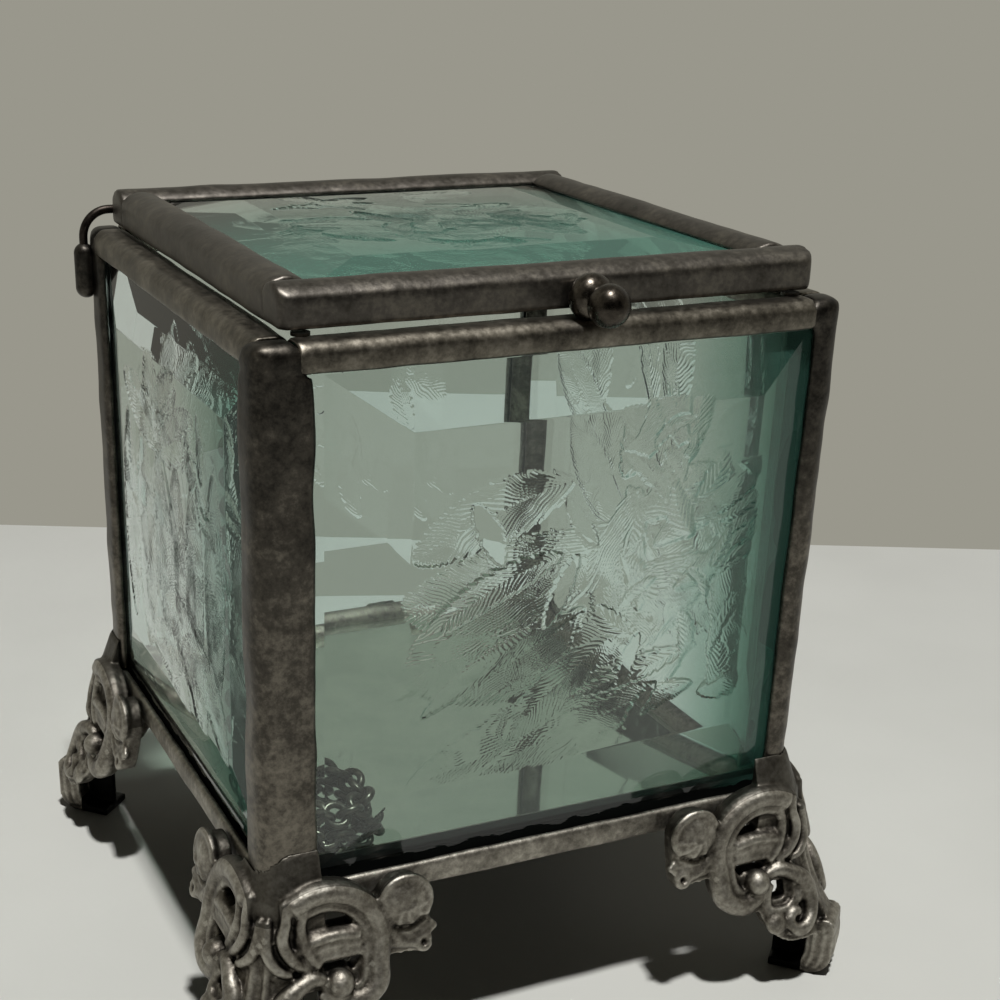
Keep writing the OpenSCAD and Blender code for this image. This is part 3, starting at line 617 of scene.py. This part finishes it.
def arc(middle, radius, start, end, stand, thick, rows=7):
    """Rows along an arc on the wing, from one angle to another in degrees;
    radius, stand-off and thickness may each run from one value to another."""
    share = np.linspace(0, 1, rows)
    turn = np.radians(start + (end - start) * share)
    run = [np.interp(share, (0, 1), np.broadcast_to(value, 2)) for value in (radius, stand, thick)]
    c = middle[0] + run[0] * np.cos(turn)
    z = middle[1] + run[0] * np.sin(turn)
    return np.stack((c, z, run[1], run[2]), axis=1)


def wing_relief():
    """The ornament of one wing, as rows for tube() and numbers for boss():
    place in from the corner, height, stand-off from the face, and radius."""
    ring, curl, leaf, tip = (6.3, 22.5), (9.6, 18.8), (18.1, 27.0), (20.5, 20.6)
    # The ring's outer rib runs on round the curl and ends at the ball
    ring_rib = arc(ring, 8.0, 122, -20, -0.3, 1.75, 9)
    curl_rib = arc(curl, (4.3, 3.6), -25, -165, -0.2, (1.75, 1.2))
    # Its inner rib is thinner and ends inside the curl
    inner_rib = arc(ring, 6.0, 112, -18, 0.2, 0.65, 9)
    inner_end = [(11.8, 18.9, 0.3, 0.6), (11.2, 17.4, 0.3, 0.55), (10.1, 16.6, 0.3, 0.5)]
    tubes = [
        np.vstack((ring_rib, curl_rib)),
        np.vstack((inner_rib, inner_end)),
        # The volute's crest springs from the ball and winds in
        [(5.7, 18.5, 0.3, 0.9), (3.9, 18.9, 0.5, 1.1), (2.0, 18.3, 0.6, 1.25), (0.2, 17.0, 0.7, 1.3),
         (-1.0, 15.2, 0.7, 1.3), (-1.5, 13.2, 0.6, 1.25), (-1.1, 11.3, 0.5, 1.15), (0.2, 10.0, 0.5, 1.05),
         (1.8, 9.9, 0.5, 0.95), (2.8, 11.0, 0.5, 0.85), (2.3, 12.2, 0.6, 0.8), (1.0, 12.4, 0.6, 0.7)],
        # A lip round the small square window
        [(1.8, 17.4, 0.3, 0.5), (1.1, 15.9, 0.3, 0.5), (1.3, 14.3, 0.3, 0.5), (2.6, 13.2, 0.3, 0.5),
         (4.4, 12.9, 0.3, 0.6), (5.9, 13.3, 0.3, 0.6)],
        # Three petals part from the corner strap and sweep in to the ball
        [(3.3, 30.6, 0.1, 0.8), (3.4, 28.4, 0.3, 0.8), (3.0, 26.4, 0.4, 0.8), (3.2, 24.2, 0.5, 0.8),
         (3.9, 22.2, 0.5, 0.8), (5.2, 20.5, 0.4, 0.6)],
        [(1.0, 30.2, 0.1, 0.7), (1.1, 27.6, 0.3, 0.75), (0.5, 25.2, 0.5, 0.8), (1.0, 23.0, 0.6, 0.8),
         (2.3, 21.2, 0.5, 0.75), (3.8, 20.2, 0.3, 0.5)],
        [(-1.2, 27.5, 0.1, 0.6), (-1.5, 25.0, 0.4, 0.75), (-1.4, 22.8, 0.5, 0.8), (-0.4, 21.0, 0.5, 0.75),
         (1.2, 20.0, 0.3, 0.5)],
        # The shell's raised edge, the hollow curl at the leaf's tip, its tail
        arc(leaf, 3.5, 165, -40, 0.5, (0.6, 0.8)),
        arc(tip, 0.95, 10, 340, 0.4, 0.5),
        [(15.0, 25.0, 0.2, 0.8), (15.6, 23.0, 0.2, 0.8), (17.4, 21.2, 0.2, 0.7), (19.4, 20.6, 0.3, 0.6)],
    ]
    # Bars across the ring, each a shallow bow
    for z, r in ((24.1, 0.95), (22.8, 0.6), (22.1, 0.45)):
        bow = ((3.6, -0.3, 0.3), (5.6, 0, 0.4), (7.6, 0.2, 0.4), (9.6, 0, 0.4), (11.2, -0.3, 0.3))
        tubes.append([(c, z + rise, stand, r) for c, rise, stand in bow])
    # Ribs below the shell, with grooves left between them, and the shell's rays
    tubes += [arc(leaf, radius, -155, -45, 0.2, 0.5, 5) for radius in (4.5, 5.4, 6.2)]
    tubes += [arc(leaf, (1.0, 3.2), turn, turn + 18, (1.6, 0.9), 0.45, 3) for turn in (-130, -95, -60, -25)]
    # The ball, the volute's eye, the shell's dome, and a bead near the corner
    bosses = [
        (7.8, 17.7, 0.5, 2.0, 2.0, 2.0), (5.1, 11.4, 0.2, 1.8, 1.7, 1.1),
        (18.1, 27.0, 0.2, 3.7, 3.7, 1.6), (0.6, 14.6, 0.2, 1.0, 1.4, 0.9),
    ]
    return tubes, bosses


def corner_relief():
    """Ribs down the corner and flutes over the toe, as rows for tube(): place
    across the diagonal, height, distance out along it, and radius."""
    ribs = [
        [(t, 26.0, 60.3, 0.55), (t, 22.0, 61.2, 0.6), (1.2 * t, 18.0, 62.4, 0.65),
         (1.4 * t, 14.0, 64.0, 0.7), (1.6 * t, 10.6, 66.0, 0.7)]
        for t in (-0.9, 0.9)
    ]
    front_flutes = [
        [(t, 9.0, 67.0, 0.65), (t, 7.8, 67.9, 0.7), (t, 5.0, 68.2, 0.7), (t, 2.6, 67.7, 0.7),
         (t, 1.2, 66.4, 0.6)]
        for t in (-2.2, -0.75, 0.75, 2.2)
    ]
    side_flutes = [
        [(t, 9.0, n - 0.4, 0.6), (t, 7.4, n, 0.65), (t, 5.0, n, 0.65), (t, 2.8, n - 0.2, 0.65),
         (t, 1.3, n - 0.8, 0.6)]
        for t in (-3.1, 3.1) for n in (67.1, 65.7)
    ]
    return ribs + front_flutes + side_flutes


def slot_widened(points):
    """Opens the slot over the ball to the height it has in the photograph:
    the edge of the bars goes up and the top of the ball's disc down."""
    slot_low, slot_middle, slot_high = 19.4, 20.5, 21.6
    c = np.maximum(points[:, 0], points[:, 1]) + post_out
    z = points[:, 2].copy()
    bars = (c > 5.7) & (c < 12.0) & (z > slot_middle) & (z < slot_high)
    disc = (c > 5.7) & (c < 10.3) & (z > slot_low) & (z <= slot_middle)
    z[bars] = slot_high
    z[disc] = slot_low
    return np.column_stack((points[:, :2], z))


def foot_mesh(name, turns):
    """One casting: the solid's own skin, merged, with the relief of both
    wings and of the corner laid over it, in the place of that corner."""
    points, triangles = skin(name)
    # Turned back to the front left corner, where the relief is drawn
    for _ in range(turns):
        points = np.stack((points[:, 1], -points[:, 0], points[:, 2]), axis=1)
    parts = [(slot_widened(points), triangles)]
    tubes, bosses = wing_relief()
    laid = [tube(rows, on_foot) for rows in tubes] + [boss(*numbers) for numbers in bosses]
    # The other wing mirrors this one across the diagonal
    laid += [(part[:, (1, 0, 2)], [face[::-1] for face in face_list]) for part, face_list in laid]
    parts += laid + [tube(rows, on_toe) for rows in corner_relief()]
    at = np.concatenate([part for part, _ in parts])
    for _ in range(turns):
        at = np.stack((-at[:, 1], at[:, 0], at[:, 2]), axis=1)
    at = np.clip(at, (-foot_reach, -foot_reach, foot_lift), (foot_reach, foot_reach, np.inf))
    starts = np.cumsum([0] + [len(part) for part, _ in parts])
    faces = [
        [start + number for number in face]
        for start, (_, face_list) in zip(starts, parts) for face in face_list
    ]
    mesh = bpy.data.meshes.new(name + "_cast")
    mesh.from_pydata(at * mm, [], faces)
    return mesh


def pewter_material():
    """Cast pewter, rubbed pale along its ridges, with painted shade: ambient
    occlusion darkens its grounds and recesses, and the inside of the toe low
    down is painted black where it lies in shadow. It is dull with solder on the
    collar; low waves and pits of the casting make its relief."""
    material, tree = new_material("cast_pewter")
    place = add(tree, "TexCoord", out="Object")
    edge = add(tree, "NewGeometry", out="Pointiness")
    ridge = add(tree, "MapRange", {"Value": edge, "From Min": 0.45, "From Max": 0.55})
    fleck = add(tree, "TexNoise", {
        "Vector": place, "Scale": 1 / (0.9 * mm), "Detail": 5.0, "Roughness": 0.7,
    })
    blotch = add(tree, "TexNoise", {
        "Vector": place, "Scale": 1 / (5 * mm), "Detail": 4.0, "Roughness": 0.55,
    })
    both = add(tree, "Math", {0: fleck, 1: blotch}, operation="ADD")
    level_shift = add(tree, "Math", {0: ridge, 1: 0.55, 2: both}, operation="MULTIPLY_ADD")
    # Painted shade: ambient occlusion darkens the grounds and recesses, where shade falls
    open_air = add(tree, "AmbientOcclusion", {"Distance": 3.5 * mm}, out="AO", samples=6)
    painted_grounds_shade = add(tree, "MapRange", {"Value": open_air, "To Min": -0.9, "To Max": 0.12})
    raised = add(tree, "Math", {0: level_shift, 1: painted_grounds_shade}, operation="ADD")
    level = add(tree, "MapRange", {"Value": raised, "From Min": 0.75, "From Max": 1.75})
    cast = add(tree, "ValToRGB", {"Fac": level}, stops=(
        (0.0, "#262421"), (0.35, "#544f48"), (0.62, "#7f7a71"), (1.0, "#b3afa5"),
    ))
    # The solder that holds the collar has run down over it
    collar = band_mask(tree, place, 40.5, 44.4, 27.0, 36.6)
    soldered = add(tree, "Math", {0: collar, 1: 0.75}, operation="MULTIPLY")
    dulled = add(tree, "MixRGB", {0: soldered, 1: cast, 2: linear("#3a3732")})
    # Painted shade: the inside of the toe, low down on the side of the box, is painted black, since it lies
    # in shadow
    sizes = add(tree, "VectorMath", {0: place}, operation="ABSOLUTE")
    diagonal = add(tree, "VectorMath", {0: sizes, 1: (1.0, 1.0, 0.0)}, out="Value", operation="DOT_PRODUCT")
    inward = add(tree, "Math", {0: diagonal, 1: 90.7 * mm}, operation="LESS_THAN")
    height = add(tree, "SeparateXYZ", {"Vector": place}, out="Z")
    low_down = add(tree, "Math", {0: height, 1: 8.4 * mm}, operation="LESS_THAN")
    hollow_shade = add(tree, "Math", {0: inward, 1: low_down}, operation="MULTIPLY")
    colour = add(tree, "MixRGB", {0: hollow_shade, 1: dulled, 2: linear("#0b0b0a")})
    wave = add(tree, "TexNoise", {
        "Vector": place, "Scale": 1 / (2.0 * mm), "Detail": 2.0, "Roughness": 0.55,
    })
    grain = add(tree, "TexNoise", {
        "Vector": place, "Scale": 1 / (0.3 * mm), "Detail": 4.0, "Roughness": 0.65,
    })
    flow = add(tree, "Bump", {"Height": wave, "Strength": 0.5, "Distance": 0.4 * mm})
    relief = add(tree, "Bump", {"Height": grain, "Strength": 0.35, "Distance": 0.08 * mm, "Normal": flow})
    gloss = add(tree, "MapRange", {"Value": fleck, "To Min": 0.36, "To Max": 0.62})
    metal = add(tree, "BsdfPrincipled", {
        "Base Color": colour, "Metallic": 1.0, "Roughness": gloss, "Normal": relief,
    })
    add(tree, "OutputMaterial", {"Surface": metal})
    return material


pewter = pewter_material()
for turns, corner in enumerate(corner_names):
    node = "foot_" + corner
    mesh = foot_mesh(node, turns)
    mesh.materials.append(pewter)
    foot = bpy.data.objects.new(node + "_cast", mesh)
    bpy.context.scene.collection.objects.link(foot)
    fuse = foot.modifiers.new("flow", "REMESH")
    fuse.mode = "VOXEL"
    fuse.voxel_size = cast_grid
    fuse.use_smooth_shade = True
    soften = foot.modifiers.new("soften", "SMOOTH")
    soften.factor = 0.5
    soften.iterations = 3
    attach(foot, "casket")
    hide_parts(node)


# Lid pane: one more square of chipped and bevelled plate glass, its flakes
# finer and in every direction, held flat in the grooves of the cames.
lid_half = 34.8
lid_foot = 104.9
lid_bevels = (12.7, 12.7, 12.7, 12.7)
lid_rise = 1.5
lid_flakes = scattered_flakes(seed=21, count=40, low=(13, 13), high=(57, 57), heading=170, spread=40, size=22)
lid_glass = glass_material("lid_glass", pale_from=26, green_from=-22)
lid_pane = pane_mesh(
    "lid_pane_chipped", 2 * lid_half, 2 * lid_half, lid_bevels, lid_rise, lid_flakes, seed=500,
    place=lambda u, w, n: (u - lid_half, w - lid_half, n + lid_foot), look=lid_glass,
)
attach(lid_pane, "lid")
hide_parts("lid_pane")


# Lid cames and hinge tube: metal channel and tube under a coat of patinated
# solder. The front and rear lengths run through, the side ones butt between
# them, and the tube is soldered along the rear one.
lid_foil = (31.45, 34.9, 104.85, 107.95)
came_solder = solder_material(
    "came_solder", ("#3e3b36", "#595550", "#757067"), rough=0.4, pit=0.2, foil=lid_foil,
)
for side in sides:
    butts = side in ("left", "right")
    flowed("lid_came_" + side, came_solder, "lid", longer=run_in if butts else 0.0)
finish_nodes("hinge_tube", came_solder)


# Knob: a small ball of cast metal on a rounded drop of solder that holds it
# to the lid's front came. Handling has left both dark and glossy.
def turned(name, material, node, slot, middle, across, along):
    """Closed round form about the y axis: the radius follows the sine of the
    angle from one pole to the other, and is flattened along y."""
    meridians, rings = 64, 32
    around = np.linspace(0, 2 * math.pi, meridians, endpoint=False)
    down = np.linspace(0, math.pi, rings + 2)[1:-1]
    a, d = np.meshgrid(around, down, indexing="ij")
    x = middle[0] + across * np.sin(d) * np.cos(a)
    y = middle[1] - along * np.cos(d)
    z = middle[2] + across * np.sin(d) * np.sin(a)
    poles = [(middle[0], middle[1] - along, middle[2]), (middle[0], middle[1] + along, middle[2])]
    points = np.concatenate((np.stack((x.ravel(), y.ravel(), z.ravel()), axis=1), poles))
    first = np.arange(meridians) * rings
    after = np.roll(first, -1)
    rows = np.arange(rings - 1)[:, None]
    walls = np.stack((after + rows, after + rows + 1, first + rows + 1, first + rows), axis=-1)
    front = np.stack((np.full(meridians, len(points) - 2), after, first), axis=1)
    rear = np.stack((np.full(meridians, len(points) - 1), first + rings - 1, after + rings - 1), axis=1)
    mesh = bpy.data.meshes.new(name)
    mesh.from_pydata(points * mm, [], walls.reshape(-1, 4).tolist() + front.tolist() + rear.tolist())
    mesh.polygons.foreach_set("use_smooth", np.ones(len(mesh.polygons), dtype=bool))
    mesh.materials.append(material)
    piece = bpy.data.objects.new(name, mesh)
    bpy.context.scene.collection.objects.link(piece)
    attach(piece, "lid")
    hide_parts(node)


# Middle, radius across and half length along y, of the ball and of its drop
ball_form = ((3.1, -43.4, 105.8), 2.75, 2.7)
drop_form = ((2.6, -39.7, 106.2), 3.0, 2.4)
ball_metal = solder_material("ball_metal", ("#262320", "#45403a", "#6b655c"), rough=0.26)
turned("knob_ball_turned", ball_metal, "knob_ball", "ball_metal", *ball_form)
turned("knob_collar_round", ball_metal, "knob_collar", "patinated_solder", *drop_form)


# Hinge wire and drops: blackened steel wire through the tube, its ends bent
# down the rear posts under drops of solder. Two more drops on the front rim
# carry the shut lid.
dark_wire = solder_material("dark_wire", ("#1d1a18", "#35302c", "#4c453f"), rough=0.4)
finish_nodes("hinge_wire", dark_wire)
finish_nodes("hinge_solder_", solder)
finish_nodes("lid_rest_", solder)


# Stay chain: round links of steel wire, tied under the left rim by a drop of
# solder. It hangs down the inside of the left wall and lies in a heap.
chain_steel = solder_material("chain_steel", ("#2a2825", "#5a564f", "#837e74"), rough=0.3)
# How far the wire stands out from the solid's, to be as thick as it looks
wire_growth = 0.14 * mm
link_points, link_faces = skin("stay_chain")
chain_mesh = bpy.data.meshes.new("stay_chain_links")
chain_mesh.from_pydata(link_points * mm, [], link_faces)
chain_mesh.polygons.foreach_set("use_smooth", np.ones(len(link_faces), dtype=bool))
chain_mesh.materials.append(chain_steel)
chain = bpy.data.objects.new("stay_chain_links", chain_mesh)
bpy.context.scene.collection.objects.link(chain)
thicker = chain.modifiers.new("thicker", "DISPLACE")
thicker.mid_level = 0.0
thicker.strength = wire_growth
coarser = chain.modifiers.new("coarser", "DECIMATE")
coarser.ratio = 0.4
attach(chain, "casket")
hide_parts("stay_chain")
finish_nodes("chain_solder", solder)


# The camera stands left of the box and a little above it, close up, and
# looks down at it. The shift moves the frame as the photograph was cropped.
camera_place = (-0.1028, -0.2209, 0.1511)
heading, dip, roll = 0.433, 0.428, 0.025


def make_camera():
    """Turns the camera by its heading, its dip and its roll, in radians."""
    ahead = Vector((
        math.sin(heading) * math.cos(dip),
        math.cos(heading) * math.cos(dip),
        -math.sin(dip),
    ))
    level = Vector((math.cos(heading), -math.sin(heading), 0.0))
    upright = level.cross(ahead)
    right = level * math.cos(roll) + upright * math.sin(roll)
    up = upright * math.cos(roll) - level * math.sin(roll)
    data = bpy.data.cameras.new("camera")
    data.sensor_width = 36.0
    data.lens = 60.42
    data.shift_x = 0.0761
    data.shift_y = 0.1613
    data.clip_start = 0.01
    camera = bpy.data.objects.new("camera", data)
    turn = Matrix((right, up, -ahead)).transposed().to_4x4()
    camera.matrix_world = Matrix.Translation(camera_place) @ turn
    bpy.context.scene.collection.objects.link(camera)
    bpy.context.scene.camera = camera


make_camera()


# The table: a pale matt board that ends across the camera's view, where the
# photograph's wall begins. Its edges are metres from below the camera, ahead
# of it and to either side.
table_near, table_far, table_side = -0.9, 0.41, 1.5


def plain_card(name, corners, material_name, base, size, detail, roughness):
    """Four-cornered matt board with faint clouds of that size in metres."""
    mesh = bpy.data.meshes.new(name)
    mesh.from_pydata(corners, [], [(0, 1, 2, 3)])
    card = bpy.data.objects.new(name, mesh)
    bpy.context.scene.collection.objects.link(card)
    material, tree = new_material(material_name)
    place = add(tree, "TexCoord", out="Object")
    cloud = add(tree, "TexNoise", {"Vector": place, "Scale": 1 / size, "Detail": detail, "Roughness": 0.55})
    colour = add(tree, "ValToRGB", {"Fac": cloud}, stops=tuple(zip((0.3, 0.7), base)))
    matt = add(tree, "BsdfPrincipled", {"Base Color": colour, "Roughness": roughness})
    add(tree, "OutputMaterial", {"Surface": matt})
    mesh.materials.append(material)


flat_ahead = np.array([math.sin(heading), math.cos(heading)])
flat_side = np.array([math.cos(heading), -math.sin(heading)])
table_ways = (
    (table_near, -table_side), (table_near, table_side), (table_far, table_side), (table_far, -table_side),
)
table_corners = [
    (*(np.array(camera_place[:2]) + flat_ahead * ahead + flat_side * beside), 0.0)
    for ahead, beside in table_ways
]
plain_card(
    "table", table_corners, "pale_table", ("#c9c9c2", "#cfcfc8"), size=60 * mm, detail=3.0, roughness=0.55,
)


# The dark side of the room, behind the camera: a tall matt board a metre in
# front of the box, which the metal's front faces and the ball mirror.
board_low, board_high = 0.01, 1.1
left_end, right_end = (-1.6, -1.0), (1.2, -1.3)
board_corners = [
    (*left_end, board_high), (*right_end, board_high), (*right_end, board_low), (*left_end, board_low),
]
plain_card(
    "dark_side", board_corners, "dark_room", ("#232220", "#35332f"), size=300 * mm, detail=2.0, roughness=0.9,
)


# The light: one small soft lamp nearly overhead and a little in front, a weak
# broad one at the right, and a plain grey room around them.
def add_lamp(name, place, aim, size, power):
    """Square soft lamp at a place, aimed at a point."""
    data = bpy.data.lights.new(name, "AREA")
    data.size = size
    data.energy = power
    lamp = bpy.data.objects.new(name, data)
    lamp.location = place
    lamp.rotation_euler = (Vector(aim) - Vector(place)).to_track_quat("-Z", "Y").to_euler()
    bpy.context.scene.collection.objects.link(lamp)


def make_room():
    """World of the wall's grey wherever it is seen, weaker where it lights things."""
    world = bpy.data.worlds.new("room")
    world.use_nodes = True
    tree = world.node_tree
    tree.nodes.clear()
    wall = add(tree, "Background", {"Color": linear("#99978c"), "Strength": 1.0})
    light = add(tree, "Background", {"Color": linear("#b5b5b0"), "Strength": 0.025})
    on_matt = add(tree, "LightPath", out="Is Diffuse Ray")
    add(tree, "OutputWorld", {"Surface": add(tree, "MixShader", {0: on_matt, 1: wall, 2: light})})
    bpy.context.scene.world = world


add_lamp("ceiling_lamp", place=(-0.05, -0.28, 1.20), aim=(0.0, 0.0, 0.0), size=0.07, power=14.5)
add_lamp("window_lamp", place=(0.9, 0.2, 0.7), aim=(0.0, 0.0, 0.05), size=0.60, power=0.2)
make_room()
bpy.context.scene.view_settings.view_transform = "Standard"
